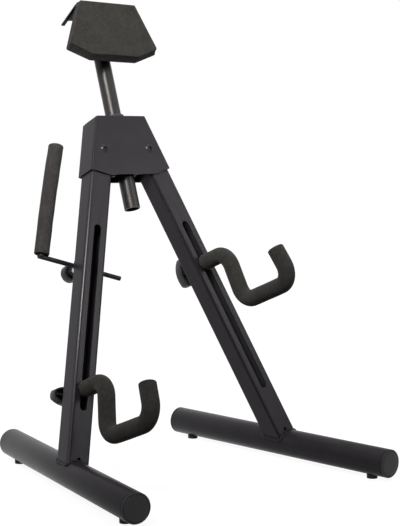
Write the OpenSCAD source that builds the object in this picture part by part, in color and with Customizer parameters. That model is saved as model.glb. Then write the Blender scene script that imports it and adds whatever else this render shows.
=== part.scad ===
// A-frame guitar stand: two slotted legs hinged in a folded steel housing, round base
// tubes, a padded head on a telescoping post, two foam-sleeved yokes and a side arm.
// Millimetres, +Z up, the yokes face -Y, left and right as seen from the front.
// The origin is on the floor under the middle of the stand's bounding box.

/* [Legs] */
// Side of the square leg tube
leg_w = 27; // [25:0.5:28]
// Wall of the square leg tube
leg_wall = 1.5; // [1:0.25:2]
// Length of a leg, from its pivot to the axis of its base tube
leg_len = 384; // [370:1:420]
// Angle of each leg from the middle line
spread = 17.5; // [15:0.5:20]
// Lean of the whole frame back from upright
lean = 20.5; // [16:0.5:24]
// Distance of each pivot screw from the middle line
pivot_x = 31.5; // [31:0.5:38]
// Width of the slots that the yokes slide in
slot_w = 9; // [8.6:0.1:9.6]
// Upper end of a slot, measured down the leg from its pivot
slot_top = 96; // [90:1:105]
// Lower end of a slot, measured down the leg from its pivot
slot_bottom = 316; // [310:1:335]

/* [Base] */
// Diameter of the base tubes
base_d = 32; // [28:1:38]
// Wall of the base tubes
base_wall = 1.5; // [1:0.25:2.5]
// Length of a base tube in front of its leg
base_front = 157.5; // [140:0.5:200]
// Length of a base tube behind its leg
base_back = 178.5; // [150:0.5:220]
// Angle by which the front ends of the base tubes spread
toe = 8; // [4:0.5:10]
// Height of the rubber feet under the base tubes
foot_h = 4; // [3:0.5:8]
// Diameter of the rubber feet
foot_d = 13; // [10:0.5:16]
// Distance of a foot's middle from the end of its base tube
foot_inset = 23; // [15:1:40]

/* [Housing] */
// Thickness of the housing's steel sheet
sheet = 1.5; // [1.2:0.1:2]
// Height of the housing's top above the pivots
housing_top = 41; // [36:1:50]
// Length of the housing's sides down the leg, from the pivots
housing_side = 31; // [28:1:34]
// Depth of the housing's middle lower edge under the pivots
housing_drop = 32.2; // [30:0.2:36]
// Diameter of the screws that the legs turn on
pivot_d = 6; // [5:0.5:8]

/* [Post] */
// Diameter of the post
post_d = 19; // [17:0.5:20]
// Wall of the post
post_wall = 1.5; // [1:0.25:2]
// Depth of the post's open lower end under the pivots
post_drop = 70.5; // [60:0.5:80]
// Height of the pad's tilt bolt above the pivots
tilt_height = 140; // [125:1:150]
// Turn of the head about the post, as it stands
head_turn = 3; // [-10:0.5:10]
// Tilt of the head forward from the line of the post, as it stands
head_tilt = 3.5; // [0:0.5:8]

/* [Head] */
// Width of the pad along its top
pad_top_w = 75.5; // [70:0.5:84]
// Width of the pad at its widest
pad_w = 122.5; // [110:0.5:130]
// Width of the pad along its bottom
pad_bottom_w = 65.5; // [58:0.5:72]
// Height of the pad's front face
pad_h = 65; // [58:0.5:72]
// Height of the pad's widest corners over its bottom
pad_corner_h = 12; // [8:0.5:15]
// Thickness of the pad's foam
pad_t = 8.5; // [7:0.5:12]
// Amount by which the pad's back reaches below its front
pad_skirt = 5.5; // [3:0.1:6]
// Distance of the pad's front face before the tilt bolt
pad_forward = 32; // [29:0.5:36]
// Depth of the pad's lower front edge under the tilt bolt
pad_below = 25.5; // [20:0.5:28]
// Length of the hooks at the upper corners of the pad's plate
hook_len = 38; // [30:1:44]

/* [Yokes] */
// Diameter of the foam sleeves
foam_d = 19.6; // [18.4:0.2:21]
// Diameter of the yokes' steel rod
rod_d = 9.5; // [8:0.5:11]
// Reach of a yoke from the middle of the leg to its dropping part
yoke_reach = 59.5; // [50:0.5:70]
// Drop of a yoke from its arm to its cradle
yoke_drop = 62; // [56:1:80]
// Depth of a yoke's cradle, middle to middle of the foam
yoke_cradle = 91; // [80:1:110]
// Length of a yoke's upturned end, from the corner of its cradle
yoke_rise = 42; // [36:1:60]
// Lean of the upturned end back toward the leg
yoke_hook = 12; // [5:1:18]
// Radius of the bends along the middle of the rod
bend_r = 17; // [15:0.5:19]
// Place of the left yoke down its leg, as it stands
left_yoke_at = 292; // [230:1:300]
// Place of the right yoke down its leg, as it stands
right_yoke_at = 151.5; // [140:0.5:250]
// Turn of each yoke inward from the line of its leg, as it stands
yoke_turn = 7; // [0:0.5:15]

/* [Side arm] */
// Place of the side arm down the left leg, as it stands
arm_at = 139; // [130:1:160]
// Diameter of the side arm's rod
arm_rod_d = 5.5; // [5:0.5:6]
// Reach of the side arm from the middle of the leg to its upright
arm_reach = 52; // [44:1:60]
// Length of the side arm's rod past the middle of the leg
arm_tail = 53; // [30:1:60]
// Diameter of the side arm's foam sleeve
arm_foam_d = 17.5; // [16:0.5:20]
// Length of the side arm's foam sleeve
arm_foam_len = 137; // [120:1:170]
// Lean of the side arm's upright forward from the line of the leg
arm_roll = 4.5; // [0:0.5:10]

/* [Knobs] */
// Diameter of the threaded studs
stud_d = 6; // [5:0.5:6]
// Length of a wing knob from tip to tip
knob_len = 36; // [32:1:40]
// Width of a wing knob
knob_w = 20; // [18:0.5:21]
// Depth of a wing knob's cup
knob_depth = 11; // [10:0.5:13]
// Diameter of the side arm's round knob
round_knob_d = 21; // [20:0.5:26]

/* [Hidden] */
$fn = 64;

LEFT = -1;
RIGHT = 1;

// Finishes as they look
BLACK_COAT = "#26262a";
SATIN_POST = "#2b2b2e";
FOAM = "#232220";
KNOB = "#1b1b1e";
ZINC = "#a9abaf";
DARK_STEEL = "#4a4a4d";
NYLON = "#303033";
RUBBER = "#18181a";

// Running clearance on a radius, clearance between sleeves and rods, and a cut's overrun
run_fit = 0.05;
cut = 1;

// Depths are measured forward from the middle plane of the legs
leg_half = leg_w / 2;
washer_t = 1;
spacer_t = 1.5;
shell_front = leg_half + washer_t + sheet;
cover_in = leg_half + spacer_t;
cover_back = cover_in + sheet;
leg_corner = 3.2;

// The housing's side plates stand just outside the legs
side_gap = 0.3;
side_in = leg_half + side_gap;
side_out = side_in + sheet;

base_r = base_d / 2;
base_z = base_r + foot_h;
pivot_z = base_z + leg_len * cos(spread) * cos(lean);
leg_back = leg_len * cos(spread) * sin(lean);
foot_x = pivot_x + leg_len * sin(spread);

// The rearmost point is the tip of the right hook, the foremost the rim of a base cap
hook_t = 1.5;
hook_lip = 3;
hook_x = pad_top_w / 2 - hook_t;
hook_out_x = pad_top_w / 2 + hook_lip;
hook_slope = 19;
plate_top = pad_h - pad_below;
plate_back = -pad_forward + pad_t + sheet;
hook_tip_y = plate_back + hook_len * cos(hook_slope);
hook_tip_z = plate_top - hook_len * sin(hook_slope);
tilted_y = hook_tip_y * cos(head_tilt) - hook_tip_z * sin(head_tilt);
tilted_z = hook_tip_y * sin(head_tilt) + hook_tip_z * cos(head_tilt);
turned_y = tilted_y * cos(head_turn) + hook_out_x * sin(abs(head_turn));
head_reach = turned_y * cos(lean) + (tilt_height + tilted_z) * sin(lean);
cap_rim = 2.3;
front_reach = leg_back + (base_front + cap_rim) * cos(toe) + base_r * sin(toe);
frame_y = (front_reach - head_reach) / 2;

// Turns a depth before the middle plane into this frame's Y
function forward(depth) = -depth;

// The plane of the legs: X to the right, Z up the plane, Y back, origin between the pivots
module in_frame() {
    translate([0, frame_y, pivot_z]) rotate([-lean, 0, 0]) children();
}

// A leg's own frame: origin on its pivot, Z up the leg, Y back
module in_leg(side) {
    in_frame() translate([side * pivot_x, 0, 0]) rotate([0, -side * spread, 0]) children();
}

// A place down a leg
module down_leg(side, distance) {
    in_leg(side) translate([0, 0, -distance]) children();
}

// A base tube's frame: origin where the leg's axis meets it, Z back along the tube
module in_base(side) {
    translate([side * foot_x, frame_y - leg_back, base_z])
        rotate([0, 0, side * toe]) rotate([-90, 0, 0]) children();
}

// The head's frame: origin on the tilt bolt, X along the bolt
module in_head() {
    in_frame() translate([0, 0, tilt_height]) rotate([head_tilt, 0, head_turn]) children();
}

// A cylinder along Y from one depth to another
module along_depth(from, to, d) {
    translate([0, forward(from), 0]) rotate([90, 0, 0]) cylinder(h = to - from, d = d);
}

// A prism whose outline is in X and Z, from one depth to another
module slab(from, to) {
    translate([0, forward(from), 0]) rotate([90, 0, 0]) linear_extrude(to - from) children();
}

// Square with round corners
module round_square(w, r) {
    square([w, w - 2 * r], center = true);
    square([w - 2 * r, w], center = true);
    for (x = [-1, 1], y = [-1, 1])
        translate([x * (w / 2 - r), y * (w / 2 - r)]) circle(r = r);
}

// Bar outline with half-round ends, long along Y
module stadium(len, w) {
    square([w, len - w], center = true);
    for (y = [-1, 1]) translate([0, y * (len - w) / 2]) circle(d = w);
}

// Ring of a sleeve
module ring(d_out, d_in) {
    difference() {
        circle(d = d_out);
        if (d_in > 0)
            circle(d = d_in);
    }
}

// Round rod or sleeve along straight runs and bends, from the origin along Z
// Each step is a straight run, a bend's radius and its angle toward +Y
// A run after a bend is a hair thinner and starts inside the bend
module sweep(steps, d_out, d_in, i = 0) {
    hair = i == 0 ? 0 : 0.1;
    lap = i == 0 ? 0 : 0.5;
    if (i < len(steps)) {
        straight = steps[i][0];
        radius = steps[i][1];
        angle = steps[i][2];
        flip = angle < 0 ? 180 : 0;
        translate([0, 0, -lap]) linear_extrude(straight + lap) ring(d_out - hair, d_in - hair);
        translate([0, 0, straight]) rotate([0, 0, flip]) {
            if (angle != 0)
                translate([0, radius, 0]) rotate([90, 0, -90])
                    rotate_extrude(angle = abs(angle)) translate([radius, 0]) ring(d_out, d_in);
            translate([0, radius, 0]) rotate([-abs(angle), 0, 0]) translate([0, -radius, 0])
                rotate([0, 0, flip]) sweep(steps, d_out, d_in, i + 1);
        }
    }
}

// Carries its children to the far end of a sweep
module at_end(steps, i = 0) {
    if (i == len(steps)) {
        children();
    } else {
        flip = steps[i][2] < 0 ? 180 : 0;
        translate([0, 0, steps[i][0]]) rotate([0, 0, flip])
            translate([0, steps[i][1], 0]) rotate([-abs(steps[i][2]), 0, 0])
                translate([0, -steps[i][1], 0]) rotate([0, 0, flip])
                    at_end(steps, i + 1) children();
    }
}

// Housing: distance from the middle line of a line beside the leg, at a height
function beside_leg(height, offset) = pivot_x - height * tan(spread) + offset / cos(spread);

housing_corner_r = 1.5;
bend_out = 2.5;
seam_in = 5;
seam_gap = 0.4;
cover_inset = 0.3;
clamp_height = 12;

// Outline of the housing, with its sides outside the legs by an offset
module housing_outline(offset, top) {
    r = housing_corner_r;
    round_z = top - r;
    round_x = beside_leg(round_z, offset - r);
    corner_z = offset * sin(spread) - housing_side * cos(spread);
    corner_x = beside_leg(corner_z, offset);
    edge_x = corner_x - (corner_z + housing_drop) / tan(spread);
    steps = 6;
    half = [for (i = [0:steps]) let (turn = 90 - i * (90 - spread) / steps)
            [round_x + r * cos(turn), round_z + r * sin(turn)],
        [corner_x, corner_z], [edge_x, -housing_drop]];
    polygon(concat(half, [for (i = [len(half) - 1:-1:0]) [-half[i][0], half[i][1]]]));
}

// Inside of the housing, open below
module housing_inside(offset, top) {
    foot = -housing_drop - housing_side;
    polygon([[beside_leg(top, offset), top], [beside_leg(foot, offset), foot],
        [-beside_leg(foot, offset), foot], [-beside_leg(top, offset), top]]);
}

module at_pivots() {
    for (side = [LEFT, RIGHT]) translate([side * pivot_x, 0, 0]) children();
}

collar_body_d = post_d + 4;
collar_d = collar_body_d + 1.5;
collar_h = 5;
collar_depth = 8;

// Corner prism that rounds the bend between the housing's front and one of its sides
module bend_cutter(side) {
    r = bend_out;
    x = side_out - r;
    y = forward(shell_front - r);
    arc = [for (i = [0:6]) [x + r * cos(15 * i), y - r * sin(15 * i)]];
    translate([side * pivot_x, 0, 0]) rotate([0, -side * spread, 0])
        mirror([side == LEFT ? 1 : 0, 0, 0]) translate([0, 0, -4 * leg_w])
            linear_extrude(8 * leg_w)
                polygon(concat(arc, [[x, y - r - cut], [x + r + cut, y - r - cut],
                    [x + r + cut, y]]));
}

module housing_shell() {
    color(BLACK_COAT) in_frame() difference() {
        slab(seam_in + seam_gap - cover_back, shell_front) housing_outline(side_out, housing_top);
        slab(-cover_back - cut, shell_front - sheet) housing_inside(side_in, housing_top - sheet);
        at_pivots() along_depth(0, shell_front + cut, pivot_d + 2 * run_fit);
        cylinder(h = housing_top + cut, d = collar_body_d + 2 * run_fit);
        for (side = [LEFT, RIGHT]) bend_cutter(side);
    }
}

module housing_cover() {
    grow = side_out - cover_inset;
    rise = housing_top - cover_inset;
    color(BLACK_COAT) in_frame() difference() {
        slab(-cover_back, seam_in - cover_back) housing_outline(grow, rise);
        slab(-cover_in, cut - cover_in + seam_in) housing_inside(side_in, rise - sheet);
        at_pivots() along_depth(-cover_back - cut, 0, pivot_d + 2 * run_fit);
        translate([0, 0, clamp_height])
            along_depth(-cover_back - cut, 0, stud_d + 2 * run_fit);
    }
}

head_w = 11;
head_h = 2.2;
nut_flats = 10;
nut_h = 5;
recess_w = 1.4;
recess_len = 5.2;
recess_depth = 1.5;

// Domed screw head with a cross recess, its flat side on the XY plane
module domed_head(d, h) {
    ball_r = (d * d / 4 + h * h) / (2 * h);
    difference() {
        intersection() {
            translate([0, 0, h - ball_r]) sphere(r = ball_r);
            cylinder(h = h + cut, d = d);
        }
        translate([0, 0, h - recess_depth + cut]) for (turn = [0, 90]) rotate([0, 0, turn])
            cube([recess_len, recess_w, 2 * cut], center = true);
    }
}

module pivot_screws() {
    color(DARK_STEEL) in_frame() at_pivots() {
        along_depth(-cover_back - nut_h - cut, shell_front, pivot_d);
        translate([0, forward(shell_front), 0]) rotate([90, 0, 0]) domed_head(head_w, head_h);
    }
}

pivot_ring_d = 18;

// Ring on the pivot screws from one depth to another
module pivot_rings(from, to, d) {
    in_frame() at_pivots() difference() {
        along_depth(from, to, d);
        along_depth(from - cut, to + cut, pivot_d + 2 * run_fit);
    }
}

module pivot_washers() {
    color(NYLON) pivot_rings(leg_half + run_fit, leg_half + washer_t, pivot_ring_d);
}

module pivot_spacers() {
    color(NYLON) pivot_rings(-cover_in, -leg_half - run_fit, pivot_ring_d);
}

// Hexagonal nut from one depth to another
module hex_nut(from, to, bore) {
    slab(from, to) difference() {
        circle(d = nut_flats / cos(30), $fn = 6);
        circle(d = bore);
    }
}

module pivot_nuts() {
    color(ZINC) in_frame() at_pivots()
        hex_nut(-cover_back - nut_h, -cover_back, pivot_d + 2 * run_fit);
}

guide_w = 27;
guide_top = -8;
guide_bottom = -22;
guide_rib = [4.5, 5, 16.3];

// Nylon block that the post slides through, held between the front and the cover
// A rib on each side reaches down past it
module post_guide() {
    color(NYLON) in_frame() difference() {
        union() {
            translate([-guide_w / 2, forward(shell_front - sheet), guide_bottom])
                cube([guide_w, shell_front - sheet + cover_in, guide_top - guide_bottom]);
            for (side = [0, 1]) mirror([side, 0, 0])
                translate([guide_w / 2 - cut, guide_rib[1] / 4, -housing_drop + 4]) cube(guide_rib);
        }
        translate([0, 0, guide_bottom - cut])
            cylinder(h = guide_top - guide_bottom + 2 * cut, d = post_d + 2 * run_fit);
    }
}

// Collar in the top of the housing, with a chamfered rim
module post_collar() {
    rim = 1;
    color(NYLON) in_frame() translate([0, 0, housing_top]) difference() {
        union() {
            translate([0, 0, -collar_depth]) cylinder(h = collar_depth + rim, d = collar_body_d);
            translate([0, 0, run_fit]) cylinder(h = collar_h - rim - run_fit, d = collar_d);
            translate([0, 0, collar_h - rim])
                cylinder(h = rim, d1 = collar_d, d2 = collar_d - 2 * rim);
        }
        translate([0, 0, -collar_depth - cut])
            cylinder(h = collar_depth + collar_h + 2 * cut, d = post_d + 2 * run_fit);
    }
}

post_top = tilt_height + 12;

module post_tube() {
    color(SATIN_POST) in_frame() difference() {
        translate([0, 0, -post_drop]) linear_extrude(post_top + post_drop)
            ring(post_d, post_d - 2 * post_wall);
        rotate([0, 0, head_turn]) translate([-post_d, 0, tilt_height]) rotate([0, 90, 0])
            cylinder(h = 2 * post_d, d = stud_d + 2 * run_fit);
    }
}

plug_rim = 1.5;
plug_depth = 5;

module post_plug() {
    color(NYLON) in_frame() translate([0, 0, post_top]) {
        cylinder(h = plug_rim, d = post_d);
        translate([0, 0, -plug_depth])
            cylinder(h = plug_depth, d = post_d - 2 * post_wall - 2 * run_fit);
    }
}

module clamp_nut() {
    color(ZINC) in_frame() translate([0, 0, clamp_height])
        hex_nut(-cover_back - nut_h, -cover_back, stud_d + 2 * run_fit);
}

knob_wall = 2;
knob_floor = 2.5;
knob_hub_d = 12;
knob_stem = 8;
clamp_stem = 5;

// Outline of a wing knob with its wings narrowing to round ends, within its edge by an inset
module wing_outline(inset) {
    taper = knob_w / 2 - 4;
    flank_r = (knob_len * knob_len / 4 + taper * taper) / (2 * taper);
    intersection() {
        stadium(knob_len - 2 * inset, knob_w + 2 - 2 * inset);
        translate([flank_r - knob_w / 2, 0]) circle(r = flank_r - inset);
        translate([knob_w / 2 - flank_r, 0]) circle(r = flank_r - inset);
    }
}

// Hollow wing knob on an axis along Y: its stem starts at the origin and runs back
module wing_knob(stem) {
    back = stem + knob_depth;
    difference() {
        union() {
            difference() {
                slab(-back, -stem) wing_outline(0);
                slab(-back + knob_floor, -stem + cut) wing_outline(knob_wall);
            }
            slab(-back, -stem) square([knob_wall, knob_len - knob_wall], center = true);
            along_depth(-back, 0, knob_hub_d);
        }
        along_depth(-back + knob_floor, cut, stud_d + 2 * run_fit);
    }
}

clamp_from = cover_back + nut_h + washer_t;

module in_clamp() {
    in_frame() translate([0, clamp_from, clamp_height]) children();
}

module clamp_screw() {
    tip = post_d / 2 + 2 * run_fit;
    color(ZINC) in_frame() translate([0, 0, clamp_height])
        along_depth(-clamp_from - clamp_stem, -tip, stud_d);
}

module clamp_knob() {
    color(KNOB) in_clamp() rotate([0, 90, 0]) wing_knob(clamp_stem);
}

sleeve_d = 9;
vent_d = 4.5;
vent_at = leg_len - (base_r - leg_half * sin(lean)) / (cos(spread) * cos(lean)) - cut;
joint_len = 4 * leg_w;

// Square leg tube, rounded about its pivot and coped onto its base tube
module leg(side) {
    color(BLACK_COAT) difference() {
        in_leg(side) difference() {
            intersection() {
                translate([0, 0, -leg_len]) linear_extrude(leg_len + leg_half) difference() {
                    round_square(leg_w, leg_corner);
                    round_square(leg_w - 2 * leg_wall, leg_corner - leg_wall / 2);
                }
                union() {
                    translate([-leg_w, -leg_w, -leg_len - cut])
                        cube([2 * leg_w, 2 * leg_w, leg_len + cut]);
                    along_depth(-leg_w, leg_w, leg_w);
                }
            }
            translate([0, 0, -(slot_top + slot_bottom) / 2]) slab(-leg_w, leg_w)
                stadium(slot_bottom - slot_top, slot_w);
            along_depth(-leg_w, leg_w, pivot_d + 2 * run_fit);
            translate([0, 0, -vent_at]) along_depth(0, leg_w, vent_d);
        }
        in_base(side) cylinder(h = joint_len, r = base_r, center = true);
    }
}

module left_leg() {
    leg(LEFT);
}

module right_leg() {
    leg(RIGHT);
}

// Sleeve inside the leg that keeps its walls apart on the pivot screw
module pivot_sleeve(side) {
    inside = leg_half - leg_wall;
    color(ZINC) in_leg(side) slab(-inside, inside) ring(sleeve_d, pivot_d + 2 * run_fit);
}

module left_pivot_sleeve() {
    pivot_sleeve(LEFT);
}

module right_pivot_sleeve() {
    pivot_sleeve(RIGHT);
}

module base_tube(side) {
    color(BLACK_COAT) in_base(side) translate([0, 0, -base_front])
        linear_extrude(base_front + base_back) ring(base_d, base_d - 2 * base_wall);
}

module left_base_tube() {
    base_tube(LEFT);
}

module right_base_tube() {
    base_tube(RIGHT);
}

weld_w = 2.2;

// Weld bead round the foot of a leg
module base_weld(side) {
    color(BLACK_COAT) difference() {
        intersection() {
            in_leg(side) translate([0, 0, -leg_len]) linear_extrude(2 * base_d)
                round_square(leg_w + 2 * weld_w, leg_corner + weld_w);
            in_base(side) cylinder(h = joint_len, r = base_r + weld_w, center = true);
        }
        in_leg(side) {
            translate([0, 0, -leg_len - cut]) linear_extrude(3 * base_d)
                round_square(leg_w, leg_corner);
            translate([0, 0, -vent_at]) along_depth(0, leg_w, vent_d);
        }
        in_base(side) cylinder(h = 2 * joint_len, r = base_r, center = true);
    }
}

module left_base_weld() {
    base_weld(LEFT);
}

module right_base_weld() {
    base_weld(RIGHT);
}

cap_t = 2;
cap_plug = 9;

// Plastic cap on the end of a base tube, its plug running back along Z
module base_cap() {
    d = base_d - 2 * base_wall - 2 * run_fit;
    edge = 0.8;
    translate([0, 0, edge - cap_rim]) cylinder(h = cap_rim - edge, d = base_d);
    translate([0, 0, -cap_rim]) cylinder(h = edge, d1 = base_d - 2 * edge, d2 = base_d);
    difference() {
        cylinder(h = cap_plug, d = d);
        translate([0, 0, cap_t]) cylinder(h = cap_plug, d = d - 2 * cap_t);
    }
}

module base_caps(side) {
    color(KNOB) in_base(side) {
        translate([0, 0, -base_front]) base_cap();
        translate([0, 0, base_back]) mirror([0, 0, 1]) base_cap();
    }
}

module left_base_caps() {
    base_caps(LEFT);
}

module right_base_caps() {
    base_caps(RIGHT);
}

// Rubber feet, hollowed on top to sit against the tube
module base_feet(side) {
    color(RUBBER) difference() {
        in_base(side) for (at = [foot_inset - base_front, base_back - foot_inset])
            translate([0, base_z, at]) rotate([90, 0, 0])
                cylinder(h = foot_h + base_r / 2, d1 = foot_d - 1, d2 = foot_d);
        in_base(side) cylinder(h = 2 * leg_len, r = base_r, center = true);
    }
}

module left_feet() {
    base_feet(LEFT);
}

module right_feet() {
    base_feet(RIGHT);
}

cheek_t = 2;
cheek_in = post_d / 2 + 0.3;
cheek_out = cheek_in + cheek_t;
cheek_h = 18;
bracket_h = 28;

module tilt_bolt() {
    color(DARK_STEEL) in_head() {
        translate([-cheek_out, 0, 0]) rotate([0, 90, 0])
            cylinder(h = 2 * cheek_out + nut_h + cut, d = stud_d);
        translate([-cheek_out, 0, 0]) rotate([0, -90, 0]) domed_head(head_w, head_h);
    }
}

module tilt_nut() {
    color(ZINC) in_head() translate([cheek_out, 0, 0]) rotate([0, 90, 0])
        linear_extrude(nut_h) difference() {
            circle(d = nut_flats / cos(30), $fn = 6);
            circle(d = stud_d + 2 * run_fit);
        }
}

// Folded bracket: its back lies on the pad's plate, its cheeks straddle the post
module pad_bracket() {
    reach = -plate_back;
    color(BLACK_COAT) in_head() difference() {
        union() {
            translate([-cheek_out, plate_back, -bracket_h / 2])
                cube([2 * cheek_out, cheek_t, bracket_h]);
            for (x = [-cheek_out, cheek_in]) translate([x, 0, 0]) rotate([0, 90, 0])
                linear_extrude(cheek_t) {
                    circle(d = cheek_h);
                    translate([-cheek_h / 2, -reach]) square([cheek_h, reach]);
                }
        }
        rotate([0, 90, 0]) cylinder(h = 4 * cheek_out, d = stud_d + 2 * run_fit, center = true);
    }
}

// Outline of the pad, reaching a given amount below its front face
module pad_outline(below, inset) {
    slope = (pad_w - pad_top_w) / 2 / (pad_h - pad_corner_h);
    corner_z = pad_corner_h - pad_below - below;
    bottom_z = -pad_below - below;
    half = [[pad_top_w / 2 - inset, plate_top - inset],
        [pad_w / 2 + slope * below - inset, corner_z],
        [pad_bottom_w / 2 - inset / 2, bottom_z + inset]];
    polygon(concat(half, [for (i = [2:-1:0]) [-half[i][0], half[i][1]]]));
}

plate_inset = 0.5;
web_h = 21;
web_part = 0.8;

// Hook at an upper corner of the plate: a web under an outward lip
module plate_hook() {
    lip_dir = [cos(hook_slope), -sin(hook_slope)];
    start = [plate_back - sheet, plate_top];
    web_end = [plate_back, plate_top] + web_part * hook_len * lip_dir;
    translate([hook_x, 0, 0]) rotate([90, 0, 90]) linear_extrude(hook_t)
        polygon([start, [plate_back, plate_top], web_end, [plate_back, plate_top - web_h],
            [start[0], plate_top - web_h]]);
    translate([hook_x, plate_back, plate_top]) rotate([-hook_slope, 0, 0])
        translate([0, 0, -hook_t]) cube([hook_t + hook_lip, hook_len, hook_t]);
}

module pad_plate() {
    color(BLACK_COAT) in_head() {
        slab(-plate_back, pad_forward - pad_t) pad_outline(pad_skirt, plate_inset);
        for (side = [0, 1]) mirror([side, 0, 0]) plate_hook();
    }
}

module pad_foam() {
    skin = 0.5;
    color(FOAM) in_head() hull() {
        slab(pad_forward - skin, pad_forward) pad_outline(0, 0);
        slab(pad_forward - pad_t, pad_forward - pad_t + skin) pad_outline(pad_skirt, 0);
    }
}

shoe_t = 1.5;
shoe_d = 17.5;
shoe_key = 12;
key_gap = 0.1;
foam_tip = 4;
foam_clear = 0.3;
stud_in_rod = 12;
rod_from = leg_half + shoe_t + run_fit;

// Straight runs and bends of a yoke, shortened at its tip
function yoke_steps(short) = [
    [yoke_reach - rod_from - bend_r, bend_r, 90],
    [yoke_drop - 2 * bend_r, bend_r, -90],
    [yoke_cradle - bend_r - bend_r * tan(45 + yoke_hook / 2), bend_r, -90 - yoke_hook],
    [yoke_rise - bend_r * tan(45 + yoke_hook / 2) - short, 0, 0]];

// A yoke's frame: origin on its stud in the middle of the leg, Y back, hanging down -Z
module in_yoke(side) {
    down_leg(side, side == LEFT ? left_yoke_at : right_yoke_at)
        rotate([0, side * yoke_turn, 0]) children();
}

// Start of a yoke's rod: Z runs forward and +Y down
module along_yoke(side) {
    in_yoke(side) translate([0, forward(rod_from), 0]) rotate([-90, 0, 180]) children();
}

module yoke_rod(side) {
    color(DARK_STEEL) difference() {
        along_yoke(side) sweep(yoke_steps(foam_tip), rod_d, 0);
        in_yoke(side) along_depth(0, rod_from + stud_in_rod, stud_d + 2 * run_fit);
    }
}

module yoke_foam(side) {
    color(FOAM) difference() {
        along_yoke(side) {
            sweep(yoke_steps(foam_tip), foam_d, rod_d + 2 * run_fit);
            at_end(yoke_steps(foam_tip)) linear_extrude(foam_tip) circle(d = foam_d);
        }
        in_yoke(side) along_depth(0, rod_from + foam_clear, 2 * foam_d);
    }
}

knob_from = leg_half + washer_t + run_fit;

module yoke_stud(side) {
    color(ZINC) in_yoke(side)
        along_depth(-knob_from - knob_stem - knob_depth / 2, rod_from + stud_in_rod - cut, stud_d);
}

// Washer with a key that slides in the slot
module yoke_shoe(side) {
    at = side == LEFT ? left_yoke_at : right_yoke_at;
    color(DARK_STEEL) down_leg(side, at) difference() {
        union() {
            along_depth(leg_half + run_fit, leg_half + shoe_t, shoe_d);
            slab(leg_half - leg_wall, leg_half + shoe_t / 2)
                stadium(shoe_key, slot_w - 2 * key_gap);
        }
        along_depth(0, leg_w, stud_d + 2 * run_fit);
    }
}

washer_d = 18;

module yoke_washer(side) {
    color(ZINC) in_yoke(side) slab(-leg_half - washer_t, -leg_half - run_fit)
        ring(washer_d, stud_d + 2 * run_fit);
}

// The left knob lies across its leg, the right one upright
module yoke_knob(side) {
    color(KNOB) in_yoke(side) translate([0, knob_from, 0])
        rotate([0, side == LEFT ? 90 + yoke_turn : spread - yoke_turn, 0]) wing_knob(knob_stem);
}

module left_yoke_shoe() {
    yoke_shoe(LEFT);
}

module left_yoke_stud() {
    yoke_stud(LEFT);
}

module left_yoke_rod() {
    yoke_rod(LEFT);
}

module left_yoke_foam() {
    yoke_foam(LEFT);
}

module left_yoke_washer() {
    yoke_washer(LEFT);
}

module left_yoke_knob() {
    yoke_knob(LEFT);
}

module right_yoke_shoe() {
    yoke_shoe(RIGHT);
}

module right_yoke_stud() {
    yoke_stud(RIGHT);
}

module right_yoke_rod() {
    yoke_rod(RIGHT);
}

module right_yoke_foam() {
    yoke_foam(RIGHT);
}

module right_yoke_washer() {
    yoke_washer(RIGHT);
}

module right_yoke_knob() {
    yoke_knob(RIGHT);
}

arm_shoe_t = 3;
arm_shoe_w = 16;
arm_shoe_len = 20;
arm_head_t = 3;
arm_washer_t = 2;
arm_washer_d = 24;
eye_d = 16;
eye_len = 10.5;
bush_d = arm_rod_d + 2;
bush_len = eye_d;
upright_d = 8;
upright_short = 6;
arm_stem = 12;
arm_hub_h = 2;
arm_knob_depth = 11;
wall_in = leg_half - leg_wall;
eye_from = leg_half + arm_washer_t + run_fit;
eye_mid = eye_from + eye_len / 2;
arm_knob_from = eye_from + eye_len + washer_t / 2;

module in_arm() {
    down_leg(LEFT, arm_at) children();
}

// The rod's own frame, on its axis, rolled forward with its upright
module in_arm_rod() {
    in_arm() translate([0, eye_mid, 0]) rotate([arm_roll, 0, 0]) children();
}

// Plate inside the leg with a key that slides in the rear slot
module arm_shoe() {
    color(DARK_STEEL) in_arm() difference() {
        union() {
            slab(run_fit - wall_in, arm_shoe_t - wall_in)
                square([arm_shoe_w, arm_shoe_len], center = true);
            slab(-leg_half, -wall_in + cut) stadium(shoe_key, slot_w - 2 * key_gap);
        }
        along_depth(-leg_w, 0, stud_d + 2 * run_fit);
    }
}

// Eye bolt that carries the arm's rod behind the leg
module arm_bolt() {
    head_from = wall_in - arm_shoe_t - run_fit;
    color(ZINC) in_arm() difference() {
        union() {
            along_depth(-head_from, arm_head_t - head_from, head_w);
            along_depth(-arm_knob_from - arm_stem, arm_head_t - head_from, stud_d);
            along_depth(-eye_from - eye_len, -eye_from, eye_d);
        }
        translate([0, eye_mid, 0]) rotate([0, 90, 0])
            cylinder(h = 2 * eye_d, d = bush_d + 2 * run_fit, center = true);
    }
}

module arm_washer() {
    color(BLACK_COAT) in_arm() slab(run_fit - eye_from, -leg_half - run_fit)
        ring(arm_washer_d, stud_d + 2 * run_fit);
}

module arm_bush() {
    color(NYLON) in_arm_rod() rotate([0, 90, 0]) translate([0, 0, -bush_len / 2])
        linear_extrude(bush_len) ring(bush_d, arm_rod_d + 2 * run_fit);
}

// Cross rod with the upright welded on its left end
module arm_rod() {
    color(BLACK_COAT) in_arm_rod() {
        translate([-arm_reach - arm_rod_d / 2, 0, 0]) rotate([0, 90, 0])
            cylinder(h = arm_reach + arm_tail + arm_rod_d / 2, d = arm_rod_d);
        translate([-arm_reach, 0, 0]) cylinder(h = arm_foam_len - upright_short, d = upright_d);
    }
}

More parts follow.
